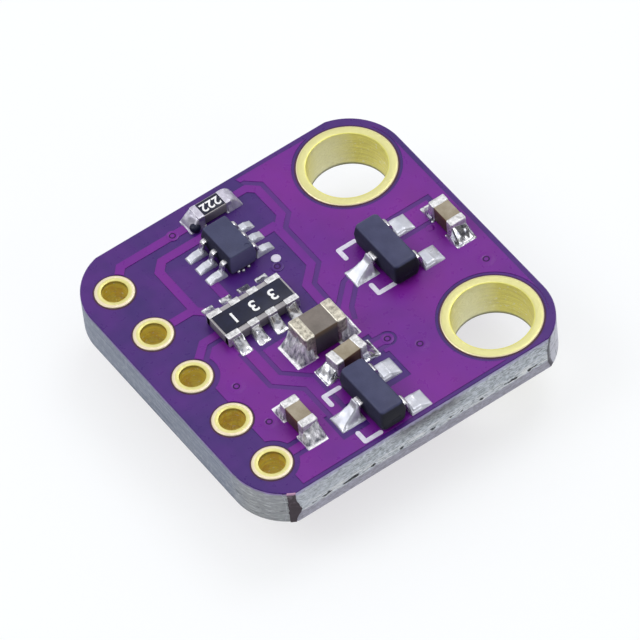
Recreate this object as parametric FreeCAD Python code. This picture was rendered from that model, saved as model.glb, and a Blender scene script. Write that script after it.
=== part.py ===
import FreeCAD, Part
import math
import os

V = FreeCAD.Vector

# Circuit board: a rounded square, routed on two sides and snapped from its panel along two V-grooves
board_length = 14.0         # Y, across the two routed edges
board_width = 13.8          # X, across the snapped webs
board_thickness = 1.7
corner_radius = 2.4
groove_depth = 0.5
groove_slope = 15.0         # degrees from upright, on each side of a groove
groove_land = 0.1           # from a web to the middle of its groove, where the panel's outline runs
pattern_shift = 0.09        # the copper pattern lies this far to +X of the snapped board's middle

# Plated holes: two for screws and a row for header pins
plating_wall = 0.05
ring_height = 0.05
mount_side = 2.3            # screw hole's centre to the snapped side
mount_edge = 2.35           # and to the routed edge
mount_hole = 3.1
mount_ring = 3.85
header_count = 5
header_pitch = 2.54
header_edge = 1.4
header_hole = 1.0
header_ring = 1.54

# Optical sensor under the board, the piece that faces the finger and that the module lies on
sensor_length = 5.6
sensor_width = 3.3
sensor_height = 1.55
sensor_base_height = 0.3
sensor_window_height = 0.3
sensor_edge = 0.1           # rounding of the package's upright edges
sensor_rim = 0.45           # wall round the wells
sensor_wall = 0.6           # wall between the wells
emitter_well = 1.35         # X size of the well that holds the two light emitters
well_corner = 0.25
emitter_size = 0.3
emitter_height = 0.15
emitter_inset = 0.8         # from an emitter's centre to the rim
detector_gap = 0.3          # from the detector to the sides of its well
detector_height = 0.2
land_rows = 7
land_pitch = 0.8
land_length = 0.55
land_width = 0.4
land_inset = 0.1            # from the package's side to the land
land_solder = 0.06

# Solder under every part on the top face
film = 0.04
solder_hollow = 0.6         # 0 for a straight slope, 1 for a fillet that hugs its corner

# Chip capacitors
small_length = 1.46
small_width = 0.7
small_height = 0.8
small_cap = 0.34            # how far the end metal reaches along the chip
small_pad = 0.92
small_toe = 0.5             # how far the solder runs out past the end metal
large_length = 1.9
large_width = 1.16
large_height = 1.22
large_cap = 0.46
large_pad = 1.4
large_toe = 0.5
metal = 0.04                # thickness of the end metal
chip_edge = 0.05
capacitor_climb = 0.72      # share of a chip's height that solder climbs at its ends
joint_top = 0.9             # width of a joint's upper edge as a share of the metal it wets

# Chip resistor and the array of four
resistor_length = 1.48
resistor_width = 0.7
resistor_height = 0.5
resistor_cap = 0.27
resistor_pad = 0.84
resistor_toe = 0.45
resistor_climb = 0.8
array_length = 3.2
array_width = 1.5
array_height = 0.5
array_count = 4
array_pitch = 0.8
array_cap = 0.28
array_end_cap = 0.58        # the outer contacts are longer than the inner ones
array_inner_cap = 0.42
array_toe = 0.63
array_climb = 0.7
array_pad_gap = 0.28        # bare board between neighbouring pads
coat = 0.04                 # black glaze over the resistive film
coat_margin = 0.08          # white ceramic left bare beside the glaze

# Regulators: three-lead packages
regulator_length = 2.8
regulator_width = 1.16
regulator_top = 1.08        # above the board
regulator_under = 0.08      # air under the package
regulator_span = 2.4        # tip to tip
regulator_pitch = 1.9
regulator_lead = 0.42
regulator_pad = 0.88
regulator_pad_end = 1.69    # pad's outer end from the package's middle
regulator_pad_start = 0.62
regulator_draft = 0.08      # how far a side leans in above the leads

# Dual transistor: a six-lead package
transistor_length = 2.0
transistor_width = 1.2
transistor_top = 1.0
transistor_under = 0.08
transistor_span = 2.2
transistor_pitch = 0.65
transistor_lead = 0.22
transistor_pad = 0.4
transistor_pad_end = 1.47
transistor_pad_start = 0.65
transistor_draft = 0.08

# Moulded packages and bent leads
under_draft = 0.05          # how far a package's side leans in below the leads
body_edge = 0.05
lead_thickness = 0.12
lead_level = 0.04           # straight stretch between package and bend
lead_bend = 0.11            # radius at the middle of the strip
lead_angle = 78.0           # degrees that a lead turns down
lead_rise = 0.56            # share of the package's height at which its leads leave it
lead_root = 0.2             # hidden length inside the package
lead_cover = 0.75           # share of the foot's thickness that solder covers
heel_climb = 0.22           # how far solder climbs behind the heel

# Where three of the parts sit on the top face: shares of the way from the copper pattern's middle to
# a snapped side, then to a routed edge
top_capacitor_at = (0.004, 0.854)
corner_capacitor_at = (0.617, -0.539)
top_regulator_at = (-0.006, 0.464)

# The other six stand in a row along X and share the width that they leave free: each has its share of
# it in the gap on its -X side, then its share of the way to a routed edge
resistor_at = (0.172, -0.09)
transistor_at = (0.201, -0.171)
array_at = (0.182, -0.31)
large_capacitor_at = (0.133, -0.137)
side_capacitor_at = (0.117, -0.11)
side_regulator_at = (0.084, -0.159)

board_low = sensor_height + land_solder
board_high = board_low + board_thickness
mount_y = board_length / 2 - mount_edge
header_y = header_edge - board_length / 2
well_length = sensor_length - 2 * sensor_rim
well_width = sensor_width - 2 * sensor_rim
detector_well = well_length - emitter_well - sensor_wall


def block(length, width, height, z=0.0):
    return Part.makeBox(length, width, height, V(-length / 2, -width / 2, z))


def bevelled_block(length, width, height, z, bevel):
    solid = block(length, width, height, z)
    return solid.makeChamfer(bevel, solid.Edges)


def upright_edges(solid):
    return [e for e in solid.Edges if abs(e.tangentAt(e.FirstParameter).z) > 0.99]


def rounded_plate(length, width, height, z, radius):
    solid = block(length, width, height, z)
    return solid.makeFillet(radius, upright_edges(solid))


def placed(shape, x, y, z=0.0, turn=0.0):
    moved = shape.copy()
    moved.rotate(V(0, 0, 0), V(0, 0, 1), turn)
    moved.translate(V(x, y, z))
    return moved


def rectangle(length, width, z):
    points = [V(-length / 2, -width / 2, z), V(length / 2, -width / 2, z),
              V(length / 2, width / 2, z), V(-length / 2, width / 2, z)]
    return Part.makePolygon(points + points[:1])


def prism(edges, sweep):
    return Part.Face(Part.Wire(edges)).extrude(sweep)


def line(start, end):
    return Part.LineSegment(start, end).toShape()


def arc(start, middle, end):
    return Part.Arc(start, middle, end).toShape()


def hollow(top, low):
    """A concave edge between two points, pulled towards the corner under the higher one."""
    middle = (top + low) * 0.5
    corner = V(top.x, 0, low.z)
    curve = Part.BezierCurve()
    curve.setPoles([top, middle + (corner - middle) * solder_hollow, low])
    return curve.toShape()


def save(name, shapes):
    group = shapes[0] if len(shapes) == 1 else Part.makeCompound(shapes)
    group.exportStep("parts/" + name + ".step")


# Circuit board

def mount_points():
    reach = board_width / 2 - mount_side
    return [(pattern_shift + side * reach, mount_y) for side in (-1, 1)]


def header_points():
    start = pattern_shift - (header_count - 1) * header_pitch / 2
    return [(start + i * header_pitch, header_y) for i in range(header_count)]


def grooved_section():
    """The board's shape across the grooves: a bevel, a snapped web and a bevel on each side."""
    web = board_width / 2
    face = web - groove_depth * math.tan(math.radians(groove_slope))
    points = [V(-face, 0, board_low), V(face, 0, board_low),
              V(web, 0, board_low + groove_depth), V(web, 0, board_high - groove_depth),
              V(face, 0, board_high), V(-face, 0, board_high),
              V(-web, 0, board_high - groove_depth), V(-web, 0, board_low + groove_depth)]
    section = Part.Face(Part.makePolygon(points + points[:1]))
    section.translate(V(0, -board_length, 0))
    return section.extrude(V(0, 2 * board_length, 0))


def circuit_board():
    panel_width = board_width + 2 * groove_land
    routed = rounded_plate(panel_width, board_length, board_thickness, board_low, corner_radius)
    board = placed(routed, pattern_shift, 0).common(grooved_section())
    for points, hole in ((mount_points(), mount_hole), (header_points(), header_hole)):
        for x, y in points:
            drill = Part.makeCylinder(hole / 2 + plating_wall, board_thickness, V(x, y, board_low))
            board = board.cut(drill)
    return board


def plated_hole(x, y, hole, ring):
    """A copper barrel with a flat ring on each face of the board, gold over all of it."""
    inner = hole / 2
    barrel = inner + plating_wall
    outer = ring / 2
    half = board_thickness / 2
    rim = half + ring_height
    upper = [V(inner, 0, rim), V(outer, 0, rim), V(outer, 0, half), V(barrel, 0, half)]
    lower = [V(p.x, 0, -p.z) for p in reversed(upper)]
    section = Part.Face(Part.makePolygon(upper + lower + upper[:1]))
    tube = section.revolve(V(0, 0, 0), V(0, 0, 1), 360)
    return placed(tube, x, y, (board_low + board_high) / 2)


# Solder

def hollow_fillet(length, width, height, top_width):
    """Solder that runs from x = 0, where it stands height tall, down to the film at x = length."""
    run = prism([line(V(0, 0, 0), V(length, 0, 0)),
                 line(V(length, 0, 0), V(length, 0, film)),
                 hollow(V(0, 0, height), V(length, 0, film)),
                 line(V(0, 0, height), V(0, 0, 0))], V(0, width, 0))
    run.translate(V(0, -width / 2, 0))
    points = [V(0, -width / 2, 0), V(0, width / 2, 0), V(0, width / 2, film),
              V(0, top_width / 2, height), V(0, -top_width / 2, height), V(0, -width / 2, film)]
    taper = Part.Face(Part.makePolygon(points + points[:1])).extrude(V(length, 0, 0))
    return run.common(taper)


def end_joint(end, cap, pad, toe, height, top_width):
    """Film under a chip's end metal and the fillet in front of it, for the end at +X."""
    under = Part.makeBox(cap, pad, film, V(end - cap, -pad / 2, 0))
    fillet = placed(hollow_fillet(toe, pad, height, top_width), end, 0)
    return under.fuse(fillet).removeSplitter()


def both_ends(shape):
    return [shape, placed(shape, 0, 0, 0, 180)]


# Places of the parts on the top face

def own_spot(at):
    return V(pattern_shift + at[0] * board_width / 2, at[1] * board_length / 2, 0)


def row_spots():
    """Places of the six parts of the row, from the -X end on."""
    row = [(resistor_at, resistor_pad), (transistor_at, transistor_length),
           (array_at, array_width + 2 * array_toe), (large_capacitor_at, large_pad),
           (side_capacitor_at, small_pad), (side_regulator_at, regulator_length)]
    free = board_width - sum(width for at, width in row)
    reach = pattern_shift - board_width / 2
    spots = []
    for at, width in row:
        reach += at[0] * free + width
        spots.append(V(reach - width / 2, at[1] * board_length / 2, 0))
    return spots


# Chip capacitors and resistors

def chip_metal(length, width, height, cap, core):
    """End caps that wrap five sides of a chip."""
    shell = bevelled_block(length, width, height, film, chip_edge)
    end = Part.makeBox(cap, width, height, V(length / 2 - cap, -width / 2, film))
    return both_ends(shell.common(end).cut(core))


def chip_core(length, width, height):
    return block(length - 2 * metal, width - 2 * metal, height - 2 * metal, film + metal)


def chip_capacitor(name, spot, turn, length, width, height, cap, pad, toe):
    core = chip_core(length, width, height)
    top = film + height * capacitor_climb
    joint = end_joint(length / 2, cap, pad, toe, top, width * joint_top)
    save_chip(name, spot, turn, {"body": [core],
                                 "terminals": chip_metal(length, width, height, cap, core),
                                 "solder": both_ends(joint)})


def chip_resistor(name, spot, turn):
    core = chip_core(resistor_length, resistor_width, resistor_height)
    metal_ends = chip_metal(resistor_length, resistor_width, resistor_height, resistor_cap, core)
    glaze_length = resistor_length - 2 * resistor_cap
    glaze_width = resistor_width - 2 * coat_margin
    glaze = block(glaze_length, glaze_width, coat, film + resistor_height - metal)
    top = film + resistor_height * resistor_climb
    joint = end_joint(resistor_length / 2, resistor_cap, resistor_pad, resistor_toe, top,
                      resistor_width * joint_top)
    save_chip(name, spot, turn, {"body": [core], "glaze": [glaze],
                                 "terminals": metal_ends, "solder": both_ends(joint)})


def resistor_array(name, spot):
    """Four resistors in one ceramic slab, with a row of contacts along each long side."""
    core = block(array_width - 2 * metal, array_length, array_height - 2 * metal, film + metal)
    shell = block(array_width, array_length, array_height, film)
    contacts = []
    joints = []
    pad = array_pitch - array_pad_gap
    side = array_width / 2
    top = film + array_height * array_climb
    last = array_count - 1
    for row in range(array_count):
        y = (row - last / 2) * array_pitch
        wide = array_inner_cap
        if row in (0, last):
            wide = array_end_cap
            y = math.copysign((array_length - wide) / 2, y)
        window = Part.makeBox(array_cap, wide, array_height, V(side - array_cap, y - wide / 2, film))
        contacts += both_ends(shell.common(window).cut(core))
        joint = end_joint(side, array_cap, pad, array_toe, top, min(wide, pad) * joint_top)
        joints += both_ends(placed(joint, 0, y))
    glaze_length = array_length - 2 * coat_margin
    glaze = block(array_width - 2 * array_cap, glaze_length, coat, film + array_height - metal)
    save_chip(name, spot, 0, {"body": [core], "glaze": [glaze], "terminals": contacts, "solder": joints})


def save_chip(name, spot, turn, pieces):
    for piece, shapes in pieces.items():
        save(name + "_" + piece, [placed(s, spot.x, spot.y, board_high, turn) for s in shapes])


# Moulded packages

def strip_side(points, offset, reach, drop, foot):
    """One side of a bent strip that starts level, turns down, and turns level again at its foot."""
    angle = math.radians(lead_angle)
    down = V(math.cos(angle), 0, -math.sin(angle))
    leg = (drop - 2 * lead_bend * (1 - math.cos(angle))) / math.sin(angle)
    first = lead_bend - offset
    second = lead_bend + offset
    centre = V(reach, 0, -lead_bend)
    knee = centre + V(math.sin(angle), 0, math.cos(angle)) * lead_bend + down * leg
    lower = knee + V(math.sin(angle), 0, math.cos(angle)) * lead_bend

    def around(middle, radius, turn, sign):
        return middle + V(math.sin(turn), 0, math.cos(turn)) * radius * sign

    points += [around(centre, second, turn, 1) for turn in (0, angle / 2, angle)]
    points += [around(lower, first, turn, -1) for turn in (angle, angle / 2, 0)]
    points.append(points[-1] + V(foot - points[-1].x, 0, 0))
    return points


def bent_lead(root, shoulder, height, tip, width):
    """A gull-wing lead: a strip that leaves the package level, drops, and rests its foot on the film."""
    drop = height - film - lead_thickness / 2
    half = lead_thickness / 2
    upper = strip_side([V(root, 0, half)], half, shoulder, drop, tip)
    lower = strip_side([V(root, 0, -half)], -half, shoulder, drop, tip)
    edges = []
    for side in (upper, lower):
        edges += [line(side[0], side[1]), arc(side[1], side[2], side[3]), line(side[3], side[4]),
                  arc(side[4], side[5], side[6]), line(side[6], side[7])]
    edges += [line(upper[0], lower[0]), line(upper[7], lower[7])]
    lead = prism(Part.__sortEdges__(edges), V(0, width, 0))
    lead.translate(V(0, -width / 2, height))
    return lead


def lead_joint(lead, heel, tip, pad, start, end, lead_width):
    """Solder over a pad, up round the foot of a lead and a little way up behind its heel."""
    bank = film + lead_thickness * lead_cover
    rear = film + lead_thickness / 2 + heel_climb
    edges = [line(V(start, 0, 0), V(end, 0, 0)), line(V(end, 0, 0), V(end, 0, film)),
             hollow(V(tip, 0, bank), V(end, 0, film)), line(V(tip, 0, bank), V(heel, 0, bank)),
             line(V(heel, 0, bank), V(heel, 0, rear)), hollow(V(heel, 0, rear), V(start, 0, film)),
             line(V(start, 0, film), V(start, 0, 0))]
    mound = prism(edges, V(0, pad, 0))
    mound.translate(V(0, -pad / 2, 0))
    points = [V(start, -pad / 2, 0), V(start, pad / 2, 0), V(start, pad / 2, film),
              V(start, lead_width / 2, rear), V(start, -lead_width / 2, rear), V(start, -pad / 2, film)]
    taper = Part.Face(Part.makePolygon(points + points[:1])).extrude(V(end - start, 0, 0))
    return mound.common(taper).cut(lead)


def moulded_body(length, width, top, under, draft):
    """A package that leans in above and below the level of its leads."""
    parting = under + (top - under) * lead_rise
    widest = rectangle(length, width, parting)
    base = rectangle(length - 2 * under_draft, width - 2 * under_draft, under)
    roof = rectangle(length - 2 * draft, width - 2 * draft, top)
    lower = Part.makeLoft([base, widest], True, True)
    upper = Part.makeLoft([widest, roof], True, True)
    package = lower.fuse(upper).removeSplitter()
    return package.makeChamfer(body_edge, package.Edges)


def leaded_package(name, spot, size, leads):
    """A moulded package with its leads and their solder. leads holds (place along X, side) pairs."""
    width, pad, span = size["lead"], size["pad"], size["span"]
    parting = size["under"] + (size["top"] - size["under"]) * lead_rise
    side = size["width"] / 2
    shoulder = side + lead_level
    lead = bent_lead(side - lead_root, shoulder, parting, span / 2, width)
    heel = shoulder + lead_bend
    joint = lead_joint(lead, heel, span / 2, pad, size["pad_start"], size["pad_end"], width)
    turned = []
    joints = []
    for x, direction in leads:
        turned.append(placed(lead, x, 0, 0, 90 * direction))
        joints.append(placed(joint, x, 0, 0, 90 * direction))
    body = moulded_body(size["length"], size["width"], size["top"], size["under"], size["draft"])
    for strip in turned:
        body = body.cut(strip)
    save_chip(name, spot, 0, {"body": [body], "leads": turned, "solder": joints})


def regulator(name, spot):
    size = {"length": regulator_length, "width": regulator_width, "top": regulator_top,
            "under": regulator_under, "draft": regulator_draft, "span": regulator_span,
            "lead": regulator_lead, "pad": regulator_pad,
            "pad_start": regulator_pad_start, "pad_end": regulator_pad_end}
    half = regulator_pitch / 2
    leaded_package(name, spot, size, [(-half, 1), (half, 1), (0, -1)])


def dual_transistor(name, spot):
    size = {"length": transistor_length, "width": transistor_width, "top": transistor_top,
            "under": transistor_under, "draft": transistor_draft, "span": transistor_span,
            "lead": transistor_lead, "pad": transistor_pad,
            "pad_start": transistor_pad_start, "pad_end": transistor_pad_end}
    leads = [(i * transistor_pitch, direction) for i in (-1, 0, 1) for direction in (1, -1)]
    leaded_package(name, spot, size, leads)


# Optical sensor under the board: window at z = 0, base against the board's lands

def well_centres():
    """X places of the two wells, which lie at the ends of the room inside the rim."""
    return (emitter_well - well_length) / 2, (well_length - detector_well) / 2


def sensor_housing():
    low = sensor_window_height
    high = sensor_height - sensor_base_height
    housing = rounded_plate(sensor_length, sensor_width, high - low, low, sensor_edge)
    for x, size in zip(well_centres(), (emitter_well, detector_well)):
        well = rounded_plate(size, well_width, high - low, low, well_corner)
        housing = housing.cut(placed(well, x, 0))
    return housing


def optical_sensor():
    floor = sensor_height - sensor_base_height
    emitter_x, detector_x = well_centres()
    plate = rounded_plate(sensor_length, sensor_width, sensor_base_height, floor, sensor_edge)
    window = rounded_plate(sensor_length, sensor_width, sensor_window_height, 0, sensor_edge)
    die = block(emitter_size, emitter_size, emitter_height, floor - emitter_height)
    chip = block(detector_well - 2 * detector_gap, well_width - 2 * detector_gap, detector_height,
                 floor - detector_height)
    lands = []
    land = block(land_width, land_length, land_solder, sensor_height)
    for i in range(land_rows):
        x = (i - (land_rows - 1) / 2) * land_pitch
        for side in (-1, 1):
            y = side * (sensor_width / 2 - land_inset - land_length / 2)
            lands.append(placed(land, x, y))
    emitter_y = well_width / 2 - emitter_inset
    pieces = {"sensor_base": [plate], "sensor_housing": [sensor_housing()], "sensor_window": [window],
              "sensor_red_emitter": [placed(die, emitter_x, -emitter_y)],
              "sensor_infrared_emitter": [placed(die, emitter_x, emitter_y)],
              "sensor_detector": [placed(chip, detector_x, 0)], "sensor_solder": lands}
    for name, shapes in pieces.items():
        save(name, [placed(s, pattern_shift, 0) for s in shapes])


def main():
    os.makedirs("parts", exist_ok=True)
    save("printed_circuit_board", [circuit_board()])
    for i, (x, y) in enumerate(mount_points()):
        save("mounting_hole_plating_%d" % (i + 1), [plated_hole(x, y, mount_hole, mount_ring)])
    for i, (x, y) in enumerate(header_points()):
        save("header_hole_plating_%d" % (i + 1), [plated_hole(x, y, header_hole, header_ring)])
    small = (small_length, small_width, small_height, small_cap, small_pad, small_toe)
    large = (large_length, large_width, large_height, large_cap, large_pad, large_toe)
    chip_capacitor("top_capacitor", own_spot(top_capacitor_at), 0, *small)
    chip_capacitor("corner_capacitor", own_spot(corner_capacitor_at), 0, *small)
    regulator("top_regulator", own_spot(top_regulator_at))
    row = row_spots()
    chip_resistor("chip_resistor", row[0], 90)
    dual_transistor("dual_transistor", row[1])
    resistor_array("resistor_array", row[2])
    chip_capacitor("large_capacitor", row[3], 90, *large)
    chip_capacitor("side_capacitor", row[4], 90, *small)
    regulator("side_regulator", row[5])
    optical_sensor()


main()
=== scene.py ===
import bpy, bmesh, math
from mathutils import Matrix, Vector, noise


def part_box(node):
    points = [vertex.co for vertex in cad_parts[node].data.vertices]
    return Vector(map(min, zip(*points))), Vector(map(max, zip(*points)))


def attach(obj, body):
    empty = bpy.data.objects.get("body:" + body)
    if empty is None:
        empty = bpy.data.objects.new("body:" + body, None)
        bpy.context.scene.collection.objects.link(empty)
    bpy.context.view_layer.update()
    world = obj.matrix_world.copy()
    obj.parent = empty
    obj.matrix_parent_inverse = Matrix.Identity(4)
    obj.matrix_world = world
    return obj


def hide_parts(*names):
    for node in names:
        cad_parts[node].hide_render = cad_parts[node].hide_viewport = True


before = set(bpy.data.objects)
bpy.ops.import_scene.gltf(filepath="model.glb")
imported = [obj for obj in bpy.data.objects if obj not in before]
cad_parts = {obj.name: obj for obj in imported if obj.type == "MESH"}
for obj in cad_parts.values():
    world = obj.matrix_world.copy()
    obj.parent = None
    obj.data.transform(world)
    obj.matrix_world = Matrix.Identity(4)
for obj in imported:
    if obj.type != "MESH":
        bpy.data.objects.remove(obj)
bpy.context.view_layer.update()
print("frame loaded")

# Everything is modelled in millimetres and brought to metres when it is settled.
boardLow, boardHigh = (corner.z * 1000 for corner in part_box("printed_circuit_board"))
shift = 0.09  # copper pattern's middle, to +X of the board's middle


def letGo():
    if bpy.context.mode != "OBJECT":
        bpy.ops.object.mode_set(mode="OBJECT")
    bpy.ops.object.select_all(action="DESELECT")


def hold(*pieces):
    letGo()
    for piece in pieces:
        piece.select_set(True)
    bpy.context.view_layer.objects.active = pieces[0]


def named(name, piece=None):
    piece = piece or bpy.context.object
    piece.name = piece.data.name = name
    return piece


def pinDown():
    bpy.ops.object.transform_apply(location=True, rotation=True, scale=True)


def block(name, size, middle):
    letGo()
    bpy.ops.mesh.primitive_cube_add(size=1, location=middle)
    piece = named(name)
    piece.scale = size
    pinDown()
    return piece


def rod(name, radius, low, high, x=0, y=0, sides=48):
    letGo()
    bpy.ops.mesh.primitive_cylinder_add(vertices=sides, radius=radius, depth=high - low,
                                        location=(x, y, (low + high) / 2))
    piece = named(name)
    pinDown()
    return piece


def sheet(name, columns, rows):
    letGo()
    bpy.ops.mesh.primitive_grid_add(x_subdivisions=columns, y_subdivisions=rows, size=1)
    return named(name)


def choose(piece, kind, rule):
    hold(piece)
    bpy.ops.object.mode_set(mode="EDIT")
    bpy.ops.mesh.select_mode(type={"verts": "VERT", "edges": "EDGE", "faces": "FACE"}[kind])
    bpy.ops.mesh.select_all(action="DESELECT")
    mesh = bmesh.from_edit_mesh(piece.data)
    for part in getattr(mesh, kind):
        if rule(part):
            part.select_set(True)
    bmesh.update_edit_mesh(piece.data)


def everything(piece):
    hold(piece)
    bpy.ops.object.mode_set(mode="EDIT")
    bpy.ops.mesh.select_all(action="SELECT")


def pull(x=0.0, y=0.0, z=0.0):  # extrudes what is chosen
    bpy.ops.mesh.extrude_region_move(TRANSFORM_OT_translate={"value": (x, y, z)})


def cleaned(piece, gap=0.0005):
    everything(piece)
    bpy.ops.mesh.remove_doubles(threshold=gap)
    bpy.ops.mesh.normals_make_consistent(inside=False)
    letGo()
    return piece


def worked(piece, kind, **settings):
    hold(piece)
    step = piece.modifiers.new(kind.lower(), kind)
    for key, value in settings.items():
        setattr(step, key, value)
    bpy.ops.object.modifier_apply(modifier=step.name)
    return piece


def softened(piece, width, segments, angle=30):
    return worked(piece, "BEVEL", width=width, segments=segments, limit_method="ANGLE",
                  angle_limit=math.radians(angle), use_clamp_overlap=True, harden_normals=False)


def joined(name, pieces):
    hold(*pieces)
    if len(pieces) > 1:
        bpy.ops.object.join()
    return named(name)


def combined(piece, others, way, own=True):  # own: the pieces may also cross themselves
    tool = joined("tool", others)
    worked(piece, "BOOLEAN", operation=way, object=tool, solver="EXACT", use_self=own)
    bpy.data.objects.remove(tool)
    return piece


def merged(piece, others):
    return combined(piece, others, "UNION")


def cutBy(piece, others):
    return combined(piece, others, "DIFFERENCE")


def moved(piece, x=0.0, y=0.0, z=0.0, turn=0.0):
    hold(piece)
    piece.rotation_euler = (0, 0, math.radians(turn))
    piece.location = (x, y, z)
    pinDown()
    return piece


def twin(piece, name, x=0.0, y=0.0):
    copy = piece.copy()
    copy.data = piece.data.copy()
    bpy.context.collection.objects.link(copy)
    return moved(named(name, copy), x, y)


def dressed(piece, material, nodes=(), angle=35):
    hold(piece)
    piece.scale = (0.001, 0.001, 0.001)
    pinDown()
    piece.data.materials.clear()
    piece.data.materials.append(material)
    bpy.ops.object.shade_smooth_by_angle(angle=math.radians(angle))
    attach(piece, "root")
    if nodes:
        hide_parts(*nodes)


def outlinePlate(name, points, low, high):
    letGo()
    bpy.ops.mesh.primitive_circle_add(vertices=len(points), radius=1, fill_type="NGON")
    piece = named(name)
    for vertex, point in zip(piece.data.vertices, points):
        vertex.co = (point[0], point[1], low)
    everything(piece)
    pull(z=high - low)
    bpy.ops.mesh.select_all(action="SELECT")
    bpy.ops.mesh.normals_make_consistent(inside=False)
    letGo()
    return piece


def ribbon(path, width):  # closed outline round a bent line, with mitred corners
    left, right = [], []
    for i, point in enumerate(path):
        here = Vector(point)
        before = (here - Vector(path[i - 1])).normalized() if i else None
        after = (Vector(path[i + 1]) - here).normalized() if i + 1 < len(path) else before
        before = before or after
        along = (before + after).normalized()
        side = Vector((-along.y, along.x)) * (width / 2 / max(along.dot(after), 0.5))
        left.append(here + side)
        right.append(here - side)
    return left + right[::-1]


def lathe(name, profile, steps):  # a closed profile of (radius, height) points, spun round Z
    letGo()
    bpy.ops.mesh.primitive_circle_add(vertices=len(profile), radius=1, fill_type="NOTHING")
    piece = named(name)
    for vertex, (radius, height) in zip(piece.data.vertices, profile):
        vertex.co = (radius, 0, height)
    everything(piece)
    bpy.ops.mesh.spin(steps=steps, angle=2 * math.pi, center=(0, 0, 0), axis=(0, 0, 1),
                      use_auto_merge=True, use_normal_flip=False)
    letGo()
    return cleaned(piece)


def rough(x, y, z, scale, seed):  # one smooth random value between about -1 and 1
    return noise.noise(Vector((x * scale + seed, y * scale - seed, z * scale + 3 * seed)))


def clipped(value):  # kept between 0 and 1
    return min(1, max(0, value))


def shade(red, green, blue):  # a colour as a screen shows it, 0 to 255
    return tuple((c / 12.92 if c <= 0.04045 else ((c + 0.055) / 1.055) ** 2.4)
                 for c in (red / 255, green / 255, blue / 255)) + (1.0,)


class Wire:  # a value on its way through a material, for sums
    def __init__(self, finish, socket):
        self.finish, self.socket = finish, socket

    def maths(self, kind, *others):
        return self.finish.node("Math", {"operation": kind}, dict(enumerate((self, *others))))

    def sine(self): return self.maths("SINE")
    def __abs__(self): return self.maths("ABSOLUTE")
    def __add__(self, other): return self.maths("ADD", other)
    def __sub__(self, other): return self.maths("SUBTRACT", other)
    def __mul__(self, other): return self.maths("MULTIPLY", other)
    def __pow__(self, other): return self.maths("POWER", other)
    def __gt__(self, other): return self.maths("GREATER_THAN", other)
    def __lt__(self, other): return self.maths("LESS_THAN", other)
    __radd__ = __add__
    __rmul__ = __mul__


paint = {}


class Finish:
    def __init__(self, name, **fixed):
        self.material = paint[name] = bpy.data.materials.new(name)
        self.material.use_nodes = True
        self.tree = self.material.node_tree
        self.shader = self.tree.nodes["Principled BSDF"]
        self.feed(**fixed)

    def plug(self, value, socket):
        if isinstance(value, Wire):
            self.tree.links.new(value.socket, socket)
        else:
            socket.default_value = value

    def node(self, kind, settings=None, sockets=None, out=0):
        node = self.tree.nodes.new("ShaderNode" + kind)
        for key, value in (settings or {}).items():
            if key == "stops":
                ramp = node.color_ramp
                while len(ramp.elements) < len(value):
                    ramp.elements.new(0.5)
                for stop, (place, colour) in zip(ramp.elements, value):
                    stop.position, stop.color = place, shade(*colour)
            else:
                setattr(node, key, value)
        for key, value in (sockets or {}).items():
            self.plug(value, node.inputs[key])
        return Wire(self, node.outputs[out])

    def feed(self, **sockets):  # baseColor feeds Base Color, and so on
        for key, value in sockets.items():
            words = "".join(" " + c if c.isupper() else c for c in key).title()
            self.plug(value, self.shader.inputs[words.replace("Ior", "IOR")])

    def at(self, stretch=(1, 1, 1)):  # object coordinates in millimetres
        spot = self.node("TexCoord", out=3)
        size = tuple(1000 * s for s in stretch)
        return self.node("Mapping", {}, {"Vector": spot, "Scale": size})

    def along(self, way):  # one object coordinate in millimetres: 0, 1 or 2
        return self.node("SeparateXYZ", {}, {0: self.at()}, out=way)

    def height(self):
        return self.along(2)

    def facing(self, way):  # how far a face looks towards +X, +Y or +Z: 0, 1 or 2
        return self.node("SeparateXYZ", {}, {0: self.node("TexCoord", out=1)}, out=way)

    def upward(self):  # 1 on a level face, 0 on an upright one
        return self.facing(2)

    def grain(self, scale, detail=2.0, stretch=(1, 1, 1), harsh=0.5):
        return self.node("TexNoise", {}, {"Vector": self.at(stretch), "Scale": scale,
                                          "Detail": detail, "Roughness": harsh})

    def spread(self, value, low, high, first=0.0, last=1.0):
        return self.node("MapRange", {}, {"Value": value, "From Min": low, "From Max": high,
                                          "To Min": first, "To Max": last})

    def patches(self, scale, detail, low=0.35, high=0.65):  # 0 to 1, from one patch to the next
        return self.spread(self.grain(scale, detail), low, high)

    def blend(self, share, *pair):  # each a colour from 0 to 255, or what another blend gives
        first, last = (c if isinstance(c, Wire) else shade(*c) for c in pair)
        return self.node("Mix", {"data_type": "RGBA"}, {0: share, 6: first, 7: last}, out=2)

    def sheen(self, scale, detail, first, last, low=0.3, high=0.7):
        self.feed(roughness=self.spread(self.grain(scale, detail), low, high, first, last))

    def bump(self, height, depth, strength=1.0):  # depth in millimetres
        self.feed(normal=self.node("Bump", {}, {"Height": height, "Distance": depth / 1000,
                                                "Strength": strength}))


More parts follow.
